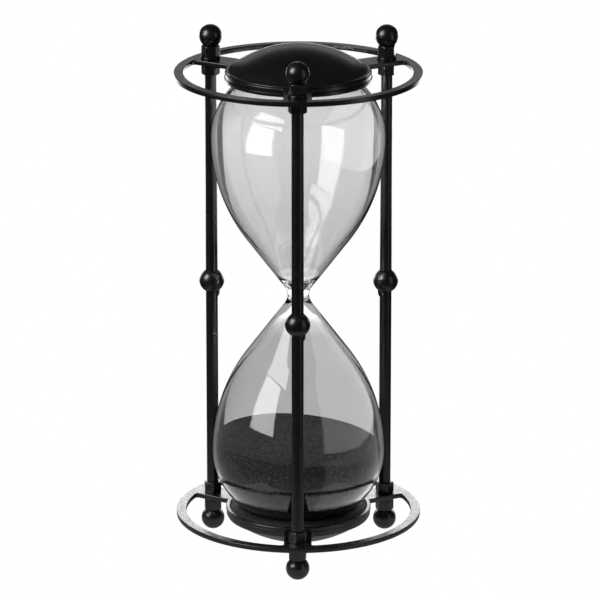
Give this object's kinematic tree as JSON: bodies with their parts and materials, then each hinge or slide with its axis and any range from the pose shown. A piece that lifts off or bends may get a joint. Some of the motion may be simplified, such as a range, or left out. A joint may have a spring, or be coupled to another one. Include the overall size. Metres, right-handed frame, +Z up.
{
  "type": "hourglass",
  "caption": "Hourglass: a clear double-bulb glass vessel of dark sand, clamped between spoked ring plates with domed caps by slim posts with ball ends.",
  "frame": {"origin": "centre of the footprint on the surface the feet stand on", "axes": "+Z up along the glass vessel's axis; -Y towards the front post"},
  "size_m": [0.15, 0.15, 0.3229],
  "materials": {
    "enamel": "satin black paint over steel",
    "glass": "clear blown glass",
    "sand": "fine dark sand",
    "rubber": "matt black rubber"
  },
  "bodies": {
    "root": {"ring_plate_top": "enamel", "dome_cap_top": "enamel", "seat_ring_top": "enamel", "gasket_top": "rubber", "inner_nut_top_front": "enamel", "washer_top_front": "enamel", "outer_nut_top_front": "enamel", "finial_top_front": "enamel", "inner_nut_top_right": "enamel", "washer_top_right": "enamel", "outer_nut_top_right": "enamel", "finial_top_right": "enamel", "inner_nut_top_left": "enamel", "washer_top_left": "enamel", "outer_nut_top_left": "enamel", "finial_top_left": "enamel", "ring_plate_bottom": "enamel", "dome_cap_bottom": "enamel", "seat_ring_bottom": "enamel", "gasket_bottom": "rubber", "inner_nut_bottom_front": "enamel", "washer_bottom_front": "enamel", "outer_nut_bottom_front": "enamel", "finial_bottom_front": "enamel", "inner_nut_bottom_right": "enamel", "washer_bottom_right": "enamel", "outer_nut_bottom_right": "enamel", "finial_bottom_right": "enamel", "inner_nut_bottom_left": "enamel", "washer_bottom_left": "enamel", "outer_nut_bottom_left": "enamel", "finial_bottom_left": "enamel", "post_rod_front": "enamel", "post_ball_front": "enamel", "weld_fillet_front": "enamel", "post_rod_right": "enamel", "post_ball_right": "enamel", "weld_fillet_right": "enamel", "post_rod_left": "enamel", "post_ball_left": "enamel", "weld_fillet_left": "enamel", "glass_vessel": "glass", "filler_stopper": "rubber", "sand_bed": "sand"}
  },
  "joints": []
}
